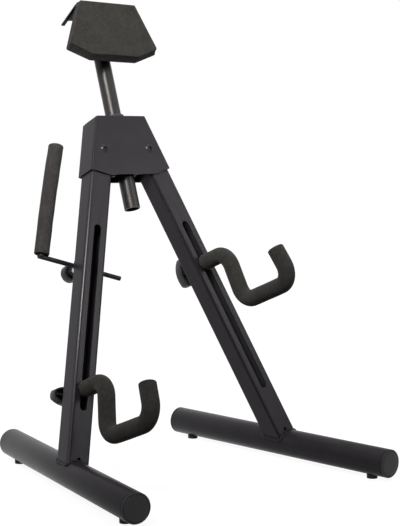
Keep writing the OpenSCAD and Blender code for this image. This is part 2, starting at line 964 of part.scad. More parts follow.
module arm_foam() {
    from = arm_rod_d / 2 + run_fit;
    color(FOAM) in_arm_rod() translate([-arm_reach, 0, 0]) {
        translate([0, 0, from]) linear_extrude(arm_foam_len - upright_short - from)
            ring(arm_foam_d, upright_d + 2 * run_fit);
        translate([0, 0, arm_foam_len - upright_short])
            cylinder(h = upright_short, d = arm_foam_d);
    }
}

// Round hollow knob, its open side toward the leg
module arm_knob() {
    back = arm_knob_from + arm_stem + arm_knob_depth;
    color(KNOB) in_arm() difference() {
        union() {
            along_depth(-back, -back + arm_knob_depth, round_knob_d);
            along_depth(-back, -back + arm_knob_depth + arm_hub_h, knob_hub_d);
        }
        difference() {
            along_depth(-back + knob_floor, -back + arm_knob_depth + cut,
                round_knob_d - 2 * knob_wall);
            along_depth(-back, -back + arm_knob_depth + arm_hub_h, knob_hub_d);
        }
        along_depth(-back + knob_floor, 0, stud_d + 2 * run_fit);
    }
}

housing_shell();
housing_cover();
pivot_screws();
pivot_washers();
pivot_spacers();
pivot_nuts();
post_guide();
post_collar();
post_tube();
post_plug();
clamp_nut();
clamp_screw();
clamp_knob();
left_leg();
right_leg();
left_pivot_sleeve();
right_pivot_sleeve();
left_base_tube();
right_base_tube();
left_base_weld();
right_base_weld();
left_base_caps();
right_base_caps();
left_feet();
right_feet();
tilt_bolt();
tilt_nut();
pad_bracket();
pad_plate();
pad_foam();
left_yoke_shoe();
left_yoke_stud();
left_yoke_rod();
left_yoke_foam();
left_yoke_washer();
left_yoke_knob();
right_yoke_shoe();
right_yoke_stud();
right_yoke_rod();
right_yoke_foam();
right_yoke_washer();
right_yoke_knob();
arm_shoe();
arm_bolt();
arm_bush();
arm_rod();
arm_foam();
arm_washer();
arm_knob();
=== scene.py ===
# %% [markdown]
# # An a-frame guitar stand
# The steel parts come from the CAD model, already at their real size and place. This
# lesson gives them finishes, and makes what a CAD kernel is poor at: foam that has been
# pushed over bent rods, a soft pad, weld beads, domed caps and the thread of a bolt.
# Everything ends up in metres, with Z up and the yokes facing -Y.

# %% Load the model
import math

import bmesh
import bpy
from mathutils import Euler, Matrix, Vector, noise


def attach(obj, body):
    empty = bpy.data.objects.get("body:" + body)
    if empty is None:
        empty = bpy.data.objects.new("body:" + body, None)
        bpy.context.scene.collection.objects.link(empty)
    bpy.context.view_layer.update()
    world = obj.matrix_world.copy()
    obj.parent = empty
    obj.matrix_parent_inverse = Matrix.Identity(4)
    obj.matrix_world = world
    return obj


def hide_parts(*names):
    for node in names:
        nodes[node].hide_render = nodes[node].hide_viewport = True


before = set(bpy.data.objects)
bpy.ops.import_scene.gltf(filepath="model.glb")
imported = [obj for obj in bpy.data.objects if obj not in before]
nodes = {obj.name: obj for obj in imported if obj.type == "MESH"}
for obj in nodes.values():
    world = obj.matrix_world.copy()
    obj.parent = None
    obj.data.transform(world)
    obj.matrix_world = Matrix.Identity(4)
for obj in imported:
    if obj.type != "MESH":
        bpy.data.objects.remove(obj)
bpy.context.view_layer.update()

# %% [markdown]
# ## The camera
# The photograph was taken from the left, a little above the middle, with a long lens.
# The place and angle were solved from the corners of the housing, the legs and the base
# tubes. The optical axis doesn't pass through the middle of the picture, because the
# picture was cropped, so the lens is shifted by the same amount.

# %% Place the camera
PICTURE = (400, 526)
AXIS_PX, FOCAL_PX = (153.04, 254.55), 1402.41
CAMERA_PLACE = (-0.91252, -1.29440, 0.37444)
CAMERA_DIP, CAMERA_TURN = 4.535, -34.356

lens = bpy.data.cameras.new("camera")
lens.lens = FOCAL_PX / PICTURE[1] * lens.sensor_width
lens.shift_x = (PICTURE[0] / 2 - AXIS_PX[0]) / PICTURE[1]
lens.shift_y = (AXIS_PX[1] - PICTURE[1] / 2) / PICTURE[1]
camera = bpy.data.objects.new("camera", lens)
camera.location = CAMERA_PLACE
camera.rotation_euler = Euler((math.radians(90 - CAMERA_DIP), 0, math.radians(CAMERA_TURN)))
bpy.context.scene.collection.objects.link(camera)
bpy.context.scene.camera = camera
print("lens", round(lens.lens, 2), "mm, shift", round(lens.shift_x, 4), round(lens.shift_y, 4))

# %% [markdown]
# ## A short way to write shaders
# Shader maths reads best as plain expressions. `Wire` wraps an output socket, and each
# operator on it adds one Math node. `Finish` owns a material and adds any other node by
# its type, its settings and its inputs.

# %% Wires
class Wire:
    def __init__(self, finish, socket):
        self.finish, self.socket = finish, socket

    def _math(self, operation, *values):
        return self.finish.node("Math", {"operation": operation}, dict(enumerate(values)))

    def __add__(self, other):
        return self._math("ADD", self, other)

    def __sub__(self, other):
        return self._math("SUBTRACT", self, other)

    def __rsub__(self, other):
        return self._math("SUBTRACT", other, self)

    def __mul__(self, other):
        return self._math("MULTIPLY", self, other)

    def __abs__(self):
        return self._math("ABSOLUTE", self)

    __radd__ = __add__

    def least(self, other):
        return self._math("MINIMUM", self, other)

    def most(self, other):
        return self._math("MAXIMUM", self, other)

    def smooth(self, low, high):
        """Rises smoothly from 0 to 1 as this goes from low to high."""
        return self.finish.node("MapRange", {"interpolation_type": "SMOOTHSTEP"},
                                {"Value": self, "From Min": low, "From Max": high})


print("wires ready")


# %% Finishes
class Finish:
    def __init__(self, name, colour, roughness, metallic=0.0, **fixed):
        self.material = bpy.data.materials.new(name)
        self.material.use_nodes = True
        self.tree = self.material.node_tree
        self.shader = self.tree.nodes["Principled BSDF"]
        self.shader.inputs["Base Color"].default_value = (*colour, 1)
        self.shader.inputs["Roughness"].default_value = roughness
        self.shader.inputs["Metallic"].default_value = metallic
        for socket, value in fixed.items():
            self.shader.inputs[socket.replace("_", " ")].default_value = value

    def node(self, kind, settings=None, inputs=None, out=0):
        """Adds a node; its settings come first, then values or wires for its inputs."""
        made = self.tree.nodes.new("ShaderNode" + kind)
        for key, value in (settings or {}).items():
            setattr(made, key, value)
        for key, value in (inputs or {}).items():
            if isinstance(value, Wire):
                self.tree.links.new(value.socket, made.inputs[key])
            else:
                made.inputs[key].default_value = value
        return Wire(self, made.outputs[out])

    def place(self):
        """Where a point is on its own piece, in metres."""
        return self.node("TexCoord", out="Object")

    def place_in(self, frame_matrix):
        """The x, y and z of a point in one of the stand's own frames."""
        at = self.node("Mapping", {"vector_type": "TEXTURE"}, {
            "Vector": self.place(), "Location": tuple(frame_matrix.translation),
            "Rotation": tuple(frame_matrix.to_euler())})
        split = self.node("SeparateXYZ", None, {"Vector": at})
        return [Wire(self, socket) for socket in split.socket.node.outputs]

    def grain(self, scale, detail=3.0, roughness=0.5):
        """Noise from 0 to 1, scale is in features a metre."""
        return self.node("TexNoise", None, {"Vector": self.place(), "Scale": scale,
                                            "Detail": detail, "Roughness": roughness})

    def mix(self, factor, a, b):
        """Goes from colour a to colour b."""
        a, b = (v if isinstance(v, Wire) else (*v, 1) for v in (a, b))
        return self.node("Mix", {"data_type": "RGBA"}, {0: factor, 6: a, 7: b}, out=2)

    def set(self, **wires):
        """Links wires to the shader's own sockets."""
        for socket, wire in wires.items():
            self.tree.links.new(wire.socket, self.shader.inputs[socket.replace("_", " ")])
        return self

    def now(self, socket):
        """The wire that a socket of the shader already has."""
        return Wire(self, self.shader.inputs[socket].links[0].from_socket)

    def bump(self, height, depth):
        """Raises the surface by height times depth metres."""
        return self.set(Normal=self.node("Bump", None, {"Height": height, "Distance": depth}))


print("finishes ready")

# %% [markdown]
# ## Powder coat
# The steel is black powder coat: a dark, slightly purple grey that looks satin because
# the baked powder leaves a fine orange peel. The peel is a low bump about a millimetre
# across. The roughness wanders a little, as it does where hands have polished the paint.

# %% Black powder coat
COAT_DARK, COAT_WORN = (0.0192, 0.0168, 0.0210), (0.0238, 0.0210, 0.0260)
COAT_ROUGHNESS, PEEL_DEPTH = 0.33, 0.00005


def powder_coat(name):
    coat = Finish(name, COAT_DARK, COAT_ROUGHNESS, Specular_IOR_Level=0.10)
    cloud = coat.grain(38, 2)
    fleck = coat.grain(2600, 2)
    tone = (cloud * 0.6 + fleck * 0.4).smooth(0.35, 0.65)
    coat.set(Base_Color=coat.mix(tone, COAT_DARK, COAT_WORN),
             Roughness=COAT_ROUGHNESS - 0.04 + cloud * 0.08)
    return coat.bump(coat.grain(1100, 2.5) * 0.7 + coat.grain(420, 1) * 0.3, PEEL_DEPTH)


black_coat = powder_coat("black_coat").material
print("made", black_coat.name)

# %% [markdown]
# The post is rubbed by its collar each time it is moved, so its paint is glossier and a
# little lighter, with faint marks that run along it. Stretching the noise along the post
# makes those marks.

# %% Rubbed coat of the post
LEAN = 20.5
POST_DARK, POST_RUBBED, POST_ROUGHNESS = (0.022, 0.021, 0.021), (0.032, 0.030, 0.029), 0.28

post_coat = Finish("post_coat", POST_DARK, POST_ROUGHNESS, Specular_IOR_Level=0.21)
along = post_coat.node("VectorRotate", {"rotation_type": "EULER_XYZ"}, {
    "Vector": post_coat.place(), "Rotation": (math.radians(LEAN), 0, 0)})
marks = post_coat.node("TexNoise", None, {
    "Vector": post_coat.node("Mapping", None, {"Vector": along, "Scale": (1, 1, 0.03)}),
    "Scale": 1500, "Detail": 3})
rub = marks.smooth(0.45, 0.75)
post_coat.set(Base_Color=post_coat.mix(rub, POST_DARK, POST_RUBBED),
              Roughness=POST_ROUGHNESS + rub * 0.08)
post_coat.bump(marks * 0.5 + post_coat.grain(900, 2) * 0.5, 0.000008)
print("made", post_coat.material.name)

# %% [markdown]
# ## Foam
# The sleeves and the pad are closed-cell foam with its skin cut away: a warm brownish
# black with no shine, and cells of about half a millimetre. Two sizes of noise give the
# mottled tone, Voronoi cells give the pores, and a little sheen softens the edges. The
# side arm's foam is a greyer and lighter stock.

# %% Cut foam
def cut_foam(name, dark, light, cells):
    foam = Finish(name, dark, 0.95, Specular_IOR_Level=0.06, Sheen_Weight=0.06,
                  Sheen_Roughness=0.6)
    mottle = foam.grain(230, 4, 0.65)
    cloud = foam.grain(45, 2)
    pores = foam.node("TexVoronoi", {"feature": "F1"}, {"Vector": foam.place(), "Scale": cells})
    tone = (mottle * 0.55 + cloud * 0.25 + (1 - pores) * 0.2).smooth(0.36, 0.66)
    foam.set(Base_Color=foam.mix(tone, dark, light), Roughness=0.88 + mottle * 0.1)
    foam.bump(pores.smooth(0.05, 0.6) * 0.5 + mottle * 0.5, 0.00022)
    return foam.material


foam_sleeve = cut_foam("foam_sleeve", (0.0268, 0.0256, 0.0242), (0.0435, 0.0418, 0.0395), 1700)
foam_pad = cut_foam("foam_pad", (0.0242, 0.0228, 0.0212), (0.0395, 0.0375, 0.0350), 1400)
foam_arm = cut_foam("foam_arm", (0.0345, 0.0325, 0.0325), (0.0540, 0.0515, 0.0515), 1700)
print("made", foam_sleeve.name + ",", foam_pad.name, "and", foam_arm.name)

# %% [markdown]
# ## Plastic, rubber and bare steel
# The knobs and caps are moulded plastic with a spark-eroded texture. The feet are plain
# rubber. The nuts and studs are zinc plated.

# %% Moulded plastic, nylon and rubber
def moulded(name, colour, lighter, roughness, texture, depth):
    plastic = Finish(name, colour, roughness, Specular_IOR_Level=0.25)
    blotch = plastic.grain(90, 3)
    fine = plastic.grain(texture, 3)
    plastic.set(Base_Color=plastic.mix(blotch.smooth(0.35, 0.7), colour, lighter),
                Roughness=roughness - 0.05 + fine * 0.1)
    return plastic.bump(fine, depth).material


knob_plastic = moulded("knob_plastic", (0.018, 0.018, 0.020), (0.025, 0.025, 0.028),
                       0.42, 2300, 0.00005)
cap_plastic = moulded("cap_plastic", (0.0155, 0.015, 0.0155), (0.020, 0.0195, 0.0205),
                      0.42, 2600, 0.00004)
nylon = moulded("nylon", (0.028, 0.028, 0.031), (0.036, 0.036, 0.040), 0.5, 1600, 0.00003)
foot_rubber = moulded("foot_rubber", (0.016, 0.016, 0.017), (0.024, 0.024, 0.025),
                      0.75, 1300, 0.00006)
print("made 4 plastics and rubbers")


# %% Zinc plate and dark steel
def plated(name, colour, tint, roughness):
    steel = Finish(name, colour, roughness, metallic=1.0)
    cloud = steel.grain(260, 4, 0.6)
    fine = steel.grain(4200, 2)
    steel.set(Base_Color=steel.mix(cloud.smooth(0.35, 0.7), colour, tint),
              Roughness=roughness - 0.06 + cloud * 0.08 + fine * 0.04)
    return steel.bump(fine, 0.00001).material


zinc = plated("zinc", (0.62, 0.62, 0.63), (0.52, 0.53, 0.56), 0.34)
dark_steel = plated("dark_steel", (0.045, 0.044, 0.046), (0.075, 0.073, 0.073), 0.34)
print("made", zinc.name, "and", dark_steel.name)

# %% [markdown]
# ## Finishes on the CAD nodes
# Each node keeps its exact mesh. The legs and the pivot screws get finishes of their own
# a little later, once the stand's frames are known.

# %% Give the nodes their finish
FINISH = {
    black_coat: ["housing_shell", "housing_cover", "left_base_tube", "right_base_tube",
                 "left_base_weld", "right_base_weld", "pad_bracket", "pad_plate", "arm_rod",
                 "arm_washer"],
    post_coat.material: ["post_tube"],
    foam_sleeve: ["left_yoke_foam", "right_yoke_foam"],
    foam_arm: ["arm_foam"],
    foam_pad: ["pad_foam"],
    knob_plastic: ["clamp_knob", "left_yoke_knob", "right_yoke_knob", "arm_knob"],
    cap_plastic: ["left_base_caps", "right_base_caps"],
    nylon: ["pivot_washers", "pivot_spacers", "post_guide", "post_collar", "post_plug",
            "arm_bush"],
    foot_rubber: ["left_feet", "right_feet"],
    zinc: ["pivot_nuts", "clamp_nut", "clamp_screw", "left_pivot_sleeve",
           "right_pivot_sleeve", "tilt_nut", "left_yoke_stud", "right_yoke_stud",
           "left_yoke_washer", "right_yoke_washer", "arm_bolt"],
    dark_steel: ["tilt_bolt", "left_yoke_shoe", "right_yoke_shoe", "left_yoke_rod",
                 "right_yoke_rod", "arm_shoe"],
}


def dress(name, material):
    """Puts one finish on a node."""
    obj = nodes[name]
    for slot in obj.material_slots:
        slot.material = material
    if not obj.material_slots:
        obj.data.materials.append(material)


for finish, names in FINISH.items():
    for name in names:
        dress(name, finish)
print("finished", sum(len(names) for names in FINISH.values()), "nodes")

# %% [markdown]
# Sharp edges get a bevel modifier of a few tenths of a millimetre, because real sheet and
# castings have no knife edges, and the thin lines of light along them are what makes
# painted steel read as steel.

# %% Soften the sharp edges
EDGE = {0.0008: ["clamp_knob", "left_yoke_knob", "right_yoke_knob", "arm_knob"],
        0.0007: ["housing_shell"], 0.0006: ["housing_cover"],
        0.0005: ["left_base_tube", "right_base_tube"], 0.0004: ["pad_plate"],
        0.0003: ["left_leg", "right_leg"]}


def soften(obj, width):
    """Rounds the sharp edges without touching the mesh."""
    weld = obj.modifiers.new("weld", "WELD")
    weld.merge_threshold = 1e-6
    bevel = obj.modifiers.new("edges", "BEVEL")
    bevel.width, bevel.segments = width, 2
    bevel.limit_method, bevel.angle_limit = "ANGLE", math.radians(35)


for width, names in EDGE.items():
    for name in names:
        soften(nodes[name], width)
print("softened", sum(len(names) for names in EDGE.values()), "nodes")

# %% [markdown]
# ## The stand's own frames
# Every piece of foam is made in the frame of what it sits on, and then turned into the
# model's frame. The frames are chained like the real parts are: the leaning plane of the
# housing, a leg in it, a place down the leg. Their lengths are in millimetres.

# %% Frames of the housing, the legs and the head
MM = 0.001
LEFT, RIGHT = -1, 1
SIDES = ((LEFT, "left"), (RIGHT, "right"))
PIVOT_Y, PIVOT_Z, PIVOT_X, SPREAD = 108.2318, 363.0349, 31.5, 17.5
ARM_DOWN, ARM_BACK, YOKE_DOWN = 139, 20.8, {LEFT: 292, RIGHT: 151.5}


def turned(angle, axis):
    return Matrix.Rotation(math.radians(angle), 4, axis)


def moved(x, y, z):
    return Matrix.Translation(Vector((x, y, z)) * MM)


pivots = moved(0, PIVOT_Y, PIVOT_Z) @ turned(-LEAN, "X")


def leg_frame(side, down):
    """A place down a leg, with Z along the leg and -Y forward."""
    return pivots @ moved(side * PIVOT_X, 0, 0) @ turned(-side * SPREAD, "Y") @ moved(0, 0, -down)


head_frame = pivots @ moved(0, 0, 140) @ turned(3, "Z") @ turned(3.5, "X")
arm_frame = leg_frame(LEFT, ARM_DOWN) @ moved(0, ARM_BACK, 0) @ turned(4.5, "X")
yoke_frame = {side: leg_frame(side, YOKE_DOWN[side]) @ turned(side * 7, "Y")
              for side in (LEFT, RIGHT)}
print("tilt bolt at", [round(v, 4) for v in head_frame.translation])

# %% [markdown]
# The outer front bend of each leg is where the stand is gripped and rubbed each time it is
# moved, so the coat is polished there and shows a thin bright line. The inner front bend
# turns away from the lamps and is drawn a little darker. A bend is found in the leg's own
# frame: only on it is a point far from the middle in both directions.

# %% Bends of the legs
def leg_coat(name, side):
    coat = powder_coat(name)
    x, y, _ = coat.place_in(leg_frame(side, 0))
    outward, forward = x * side, y * -1
    outer = outward.least(forward).smooth(0.0110, 0.0123)
    inner = (outward * -1).least(forward).smooth(0.0109, 0.0122)
    coat.set(Base_Color=coat.mix(inner * 0.8, coat.now("Base Color"), (0.006, 0.005, 0.007)))
    coat.shader.inputs["Coat Roughness"].default_value = 0.22
    return coat.set(Coat_Weight=outer * 0.4).material


for side, label in SIDES:
    dress(f"{label}_leg", leg_coat(f"{label}_leg_coat", side))
print("polished the legs' bends")

# %% [markdown]
# The two screws in the housing are blackened steel with a cross recess. It is drawn in the
# pivots' frame, where each screw stands 31.5 mm from the middle: two bars, 1.6 mm wide and
# 5.6 mm long, go dull and are painted near-black as painted shade for the inside of the
# recess, and a bump sinks them.

# %% Screws with a cross recess
SCREW, SCREW_ROUGHNESS = (0.012, 0.012, 0.013), 0.28

screw = Finish("cross_screw", SCREW, SCREW_ROUGHNESS, Specular_IOR_Level=0.3)
x, _, z = screw.place_in(pivots)
across, upward = abs(abs(x) - PIVOT_X * MM), abs(z)


def recess_bar(lengthwise, crosswise):
    """One within a bar of the cross, none outside it."""
    return (1 - crosswise.smooth(0.0006, 0.001)) * (1 - lengthwise.smooth(0.0026, 0.003))


recess = recess_bar(across, upward).most(recess_bar(upward, across))
# The cross's near-black colour is painted shade, standing in for the shade inside the recess.
screw.set(Base_Color=screw.mix(recess, SCREW, (0.0015, 0.0015, 0.0015)),
          Roughness=SCREW_ROUGHNESS + recess * 0.5)
screw.bump(recess * -1, 0.0006)
dress("pivot_screws", screw.material)
print("cut the cross recess in", screw.material.name)

# %% [markdown]
# ## Lofts
# A sleeve, a pad and a thread are all a row of rings joined by faces. `loft` takes the
# rings in the piece's frame in millimetres, joins them, closes the ends that are asked
# for, and gives back a smooth object.

# %% Loft rings into a piece
def loft(name, rings, frame_matrix, finish, close=(True, True), loop=False):
    mesh = bpy.data.meshes.new(name)
    bm = bmesh.new()
    rows = [[bm.verts.new(frame_matrix @ (Vector(p) * MM)) for p in ring] for ring in rings]
    for a, b in zip(rows, rows[1:] + rows[:1] if loop else rows[1:]):
        for i in range(len(a)):
            j = (i + 1) % len(a)
            bm.faces.new((a[i], a[j], b[j], b[i]))
    for row, wanted in ((rows[0], close[0]), (rows[-1], close[1])):
        if wanted:
            middle = bm.verts.new(sum((v.co for v in row), Vector()) / len(row))
            for i in range(len(row)):
                bm.faces.new((row[i], row[(i + 1) % len(row)], middle))
    bmesh.ops.recalc_face_normals(bm, faces=bm.faces)
    for face in bm.faces:
        face.smooth = True
    bm.to_mesh(mesh)
    bm.free()
    mesh.materials.append(finish)
    obj = bpy.data.objects.new(name, mesh)
    bpy.context.scene.collection.objects.link(obj)
    return obj


print("loft ready")

# %% [markdown]
# ## Weld beads
# Each leg is welded to its base tube along the curve where the square tube meets the
# round one. A weld is a row of small puddles, each laid over the one before. The curve is
# found by sliding every point of the leg's outline down the leg until it lies on the base
# tube. A thin ring then follows the curve, and swells once for each puddle.

# %% The curve where a leg meets its base tube
LEG_W, LEG_CORNER, LEG_LEN, BASE_R, TOE = 27, 3.2, 384, 16, 8
BEAD_OFFSET = 0.4


def leg_outline(offset, per_corner=9, per_side=60):
    """Points round the square leg with their outward directions, in its cross section."""
    half, hub, spots = LEG_W / 2, LEG_W / 2 - LEG_CORNER, []
    for quarter in range(4):
        spin = Matrix.Rotation(math.radians(90 * quarter), 3, "Z")
        for k in range(per_side):
            spot = Vector((half + offset, hub * (2 * k / per_side - 1), 0))
            spots.append((spin @ spot, spin @ Vector((1, 0, 0))))
        for k in range(per_corner):
            angle = math.radians(90 * k / per_corner)
            out = Vector((math.cos(angle), math.sin(angle), 0))
            spots.append((spin @ (Vector((hub, hub, 0)) + out * (LEG_CORNER + offset)), spin @ out))
    return spots


def weld_curve(side, offset):
    """Places of the bead's middle, the way out of the corner there, and the place on the leg."""
    foot = leg_frame(side, LEG_LEN)
    turn, toe = foot.to_3x3(), math.radians(side * TOE)
    base, down_leg = foot.translation / MM, turn @ Vector((0, 0, 1))
    along = Vector((-math.sin(toe), math.cos(toe), 0))
    curve = []
    for spot, out in leg_outline(offset):
        start = turn @ spot
        flat, step = start - along * start.dot(along), down_leg - along * down_leg.dot(along)
        half_b, c = flat.dot(step), flat.dot(flat) - (BASE_R + offset) ** 2
        rise = (math.sqrt(half_b ** 2 - step.dot(step) * c) - half_b) / step.dot(step)
        radial = (flat + step * rise).normalized()
        curve.append((base + start + down_leg * rise, (turn @ out + radial).normalized(), spot))
    return curve


print("weld curve of", len(weld_curve(LEFT, BEAD_OFFSET)), "points")


# %% Rippled beads
def weld_bead(name, side, radius=1.75, puddle=2.6, around=12):
    curve, rings, run = weld_curve(side, BEAD_OFFSET), [], 0.0
    length = sum((a[0] - b[0]).length for a, b in zip(curve, curve[1:] + curve[:1]))
    turns = round(length / puddle)
    for i, (at, out, spot) in enumerate(curve):
        ahead, behind = curve[(i + 1) % len(curve)][0], curve[i - 1][0]
        way = (ahead - behind).normalized()
        up = (out - way * out.dot(way)).normalized()
        across = way.cross(up)
        # The bead is thin at the front and back of the leg, and leaves the drain hole free
        side_share = max(0.0, min(1.0, (abs(spot.x) - 6) / 6))
        size = radius * (0.45 + 0.55 * side_share) * (1 + 0.12 * noise.noise(at * 0.35))
        ring = []
        for k in range(around):
            angle = math.tau * k / around
            phase = run / length * turns - 0.3 * math.cos(angle) ** 2
            swell = 0.86 + 0.2 * abs(math.sin(math.pi * phase)) ** 0.6
            ring.append(at + (up * math.cos(angle) + across * math.sin(angle)) * size * swell)
        rings.append(ring)
        run += (ahead - at).length
    return loft(name, rings, Matrix.Identity(4), black_coat, loop=True, close=(False, False))


for side, label in SIDES:
    bead = weld_bead(f"{label}_weld_bead", side)
    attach(bead, f"{label}_leg")
    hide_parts(f"{label}_base_weld")
    print(bead.name, len(bead.data.vertices), "points")

# %% [markdown]
# ## End caps
# A plug of plastic closes each end of a base tube. Its rim is rounded, its face has a fine
# turned line just inside the rim, and a narrow dark gap is left where it meets the tube.
# All of that is one profile turned about the tube's axis, written as pairs of a height
# above the tube's end and a radius.

# %% Turned caps
CAP_PROFILE = ((-1, 13.9), (-0.3, 14.8), (0.7, 14.9), (0.8, 15.5), (0.95, 15.9), (1.15, 16),
               (1.5, 16), (1.75, 15.85), (1.95, 15.55), (2.15, 15.1), (2.27, 14.7),
               (2.25, 14.5), (1.5, 14.4), (1.5, 13.8), (2.2, 13.7), (2.3, 13.4), (2.3, 9),
               (2.3, 4), (2.3, 0.5))
BASE_ENDS = {"front": -157.5, "back": 178.5}


def end_cap(name, side, end, around=64):
    foot = leg_frame(side, LEG_LEN)
    base_frame = Matrix.Translation(foot.translation) @ turned(side * TOE, "Z") @ turned(-90, "X")
    outward = math.copysign(1, end)
    circle = [(math.cos(math.tau * k / around), math.sin(math.tau * k / around))
              for k in range(around)]
    rings = [[(radius * x, radius * y, end + outward * rise) for x, y in circle]
             for rise, radius in CAP_PROFILE]
    return loft(name, rings, base_frame, cap_plastic, (False, True))


for side, label in SIDES:
    for end_name, end in BASE_ENDS.items():
        cap = end_cap(f"{label}_{end_name}_cap", side, end)
        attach(cap, f"{label}_leg")
        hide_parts(f"{label}_base_caps")
print("turned 4 caps")

# %% [markdown]
# ## Foam sleeves on the yokes
# Each yoke is a steel rod bent three times, inside a foam tube that was slid on after.
# The foam follows the rod's middle line: forward from the leg, down, forward under the
# guitar, and up with a lean back. On the inside of a bend the foam has nowhere to go, so
# it bunches in small folds, and on the outside it stretches a little thinner.

# %% The middle line of a yoke
ROD, SLEEVE, BEND, FOAM_FROM = 9.5, 19.6, 17, 15.35
FORWARD, DOWN, UNDER, UP, LEAN_BACK = 59.5, 62, 91, 42, 12
HOOK = BEND * math.tan(math.radians((90 + LEAN_BACK) / 2))
STEPS = ((FORWARD - FOAM_FROM - BEND, BEND, 90), (DOWN - 2 * BEND, BEND, -90),
         (UNDER - BEND - HOOK, BEND, -90 - LEAN_BACK), (UP - HOOK, 0, 0))


def yoke_line(spacing=1.5):
    """Points, directions, bend sides and distances along the rod, in the yoke's frame."""
    at, way = Vector((0, -FOAM_FROM, 0)), Vector((0, -1, 0))
    line, far = [], 0.0
    for straight, radius, angle in STEPS:
        count = max(2, round(straight / spacing))
        for k in range(count):
            line.append((at + way * straight * k / count, way.copy(), 0,
                         far + straight * k / count))
        at, far = at + way * straight, far + straight
        if angle:
            side, arc = math.copysign(1, angle), radius * math.radians(abs(angle))
            inward = Matrix.Rotation(math.radians(90) * side, 3, "X") @ way
            centre, count = at + inward * radius, round(arc / spacing)
            for k in range(count):
                spin = Matrix.Rotation(math.radians(angle * k / count), 3, "X")
                line.append((centre - spin @ inward * radius, spin @ way, side,
                             far + arc * k / count))
            spin = Matrix.Rotation(math.radians(angle), 3, "X")
            at, way, far = centre - spin @ inward * radius, spin @ way, far + arc
    line.append((at.copy(), way.copy(), 0, far))
    return line


line = yoke_line()
tip = [round(v, 1) for v in line[-1][0]]
print(len(line), "rings over", round(line[-1][3], 1), "mm, tip at", tip)


# %% Foam tube over the line
def sleeve_rings(line, radius, seed, around=40):
    across, rings = Vector((1, 0, 0)), []
    for i, (at, way, _, far) in enumerate(line):
        near = [side for _, _, side, _ in line[max(0, i - 4):i + 5]]
        amount = sum(abs(side) for side in near) / len(near)
        turn_side = next((side for side in near if side), 1)
        up = across.cross(way)
        inward = Matrix.Rotation(math.radians(90) * turn_side, 3, "X") @ way
        ring = []
        for k in range(around):
            angle = math.tau * k / around
            out = across * math.cos(angle) + up * math.sin(angle)
            inner = max(0.0, out.dot(inward)) * amount
            wave = 0.5 + 0.5 * math.sin(far * 1.55 + seed + math.sin(angle * 2))
            folds = -0.32 * inner ** 2 * wave
            thin = -0.18 * max(0.0, -out.dot(inward)) * amount
            swell = noise.noise(at * 0.045 + out * 0.4 + Vector((seed, 0, 0))) * 0.22
            ring.append(at + out * (radius - 0.2 + folds + thin + swell))
        rings.append(ring)
    return rings


def rounded_end(ring, way, edge, inner, dome=0.0, steps=4):
    """Rings that turn the rim over and run in to an inner radius, beyond the last ring."""
    middle = sum(ring, Vector()) / len(ring)
    extra = []
    for k in range(1, steps + 1):
        bow = math.radians(90 * k / steps)
        inset, rise = edge * (1 - math.cos(bow)), way * edge * math.sin(bow)
        extra.append([p - (p - middle).normalized() * inset + rise for p in ring])
    last, face = extra[-1], middle + way * edge
    reach = (last[0] - face).length
    for share in (0.66, 0.33, 0.0):
        size, lift = inner + (reach - inner) * share, way * dome * (1 - share) ** 0.5
        extra.append([face + lift + (p - face).normalized() * size for p in last])
    return extra


def yoke_sleeve(name, side, seed, cut_back=1.6):
    at, way, _, far = line[-1]
    rings = sleeve_rings(line[1:-2] + [(at - way * cut_back, way, 0, far - cut_back)],
                         SLEEVE / 2, seed)
    tip = rounded_end(rings[-1], way, 1.4, 0.6, dome=0.2)
    root = rounded_end(rings[0], -line[0][1], 1.2, ROD / 2 + 0.05)
    return loft(name, root[::-1] + rings + tip, yoke_frame[side], foam_sleeve, (False, True))


for side, label in SIDES:
    sleeve = yoke_sleeve(f"{label}_yoke_sleeve", side, 3.1 * side)
    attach(sleeve, f"{label}_yoke")
    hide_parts(f"{label}_yoke_foam")
    print(sleeve.name, len(sleeve.data.vertices), "points")

# %% [markdown]
# ## The side arm's sleeve
# The side arm keeps a second instrument's neck or body away from the leg. Its foam is a
# piece of tube that bows by less than a millimetre, cut square at both ends. A cut end is
# never quite flat: the knife drags the foam, so the rim rolls over and the face sinks
# towards its middle.

# %% Foam tube on the side arm
ARM_FOAM, ARM_LEN, ARM_BOW, UPRIGHT, ARM_ROD, ARM_REACH = 18.1, 137, 0.9, 8, 5.5, 52


def arm_rings(count=72, around=44):
    low, rings = ARM_ROD / 2 + 1.2, []
    for k in range(count + 1):
        height = low + (ARM_LEN - ARM_ROD / 2 - 2.6) * k / count
        at = Vector((ARM_BOW * (2 * k / count - 1) ** 2 - ARM_REACH, 0, height))
        ring = []
        for i in range(around):
            angle = math.tau * i / around
            out = Vector((math.cos(angle), math.sin(angle), 0))
            swell = noise.noise(out * 0.8 + Vector((0, 0, height * 0.05))) * 0.3
            ring.append(at + out * (ARM_FOAM / 2 - 0.2 + swell))
        rings.append(ring)
    return rings


rings = arm_rings()
top = rounded_end(rings[-1], Vector((0, 0, 1)), 1.4, 0.6, dome=-0.5)
foot = rounded_end(rings[0], Vector((0, 0, -1)), 1.1, UPRIGHT / 2 + 0.05)
arm_sleeve = loft("arm_sleeve", foot[::-1] + rings + top, arm_frame, foam_arm, (False, True))
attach(arm_sleeve, "arm")
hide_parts("arm_foam")
print(arm_sleeve.name, len(arm_sleeve.data.vertices), "points")

# %% [markdown]
# ## The pad
# The pad is a slab of foam glued to a steel plate. Its outline is a hexagon, wider at the
# bottom, and its cut sides slope so that the back is larger than the front. Foam that has
# been cut and glued has soft edges and a face that is a little crowned, not flat.

# %% Rounded outlines of the pad
PAD_FRONT = [(40.1, 41), (63.6, -13.9), (34.5, -25.8), (-34.5, -25.8), (-63.6, -13.9), (-40.1, 41)]
PAD_BACK = [(40.1, 41), (65.2, -18.6), (33.9, -30.6), (-35.2, -31.5), (-66.6, -19.8), (-40.6, 41)]


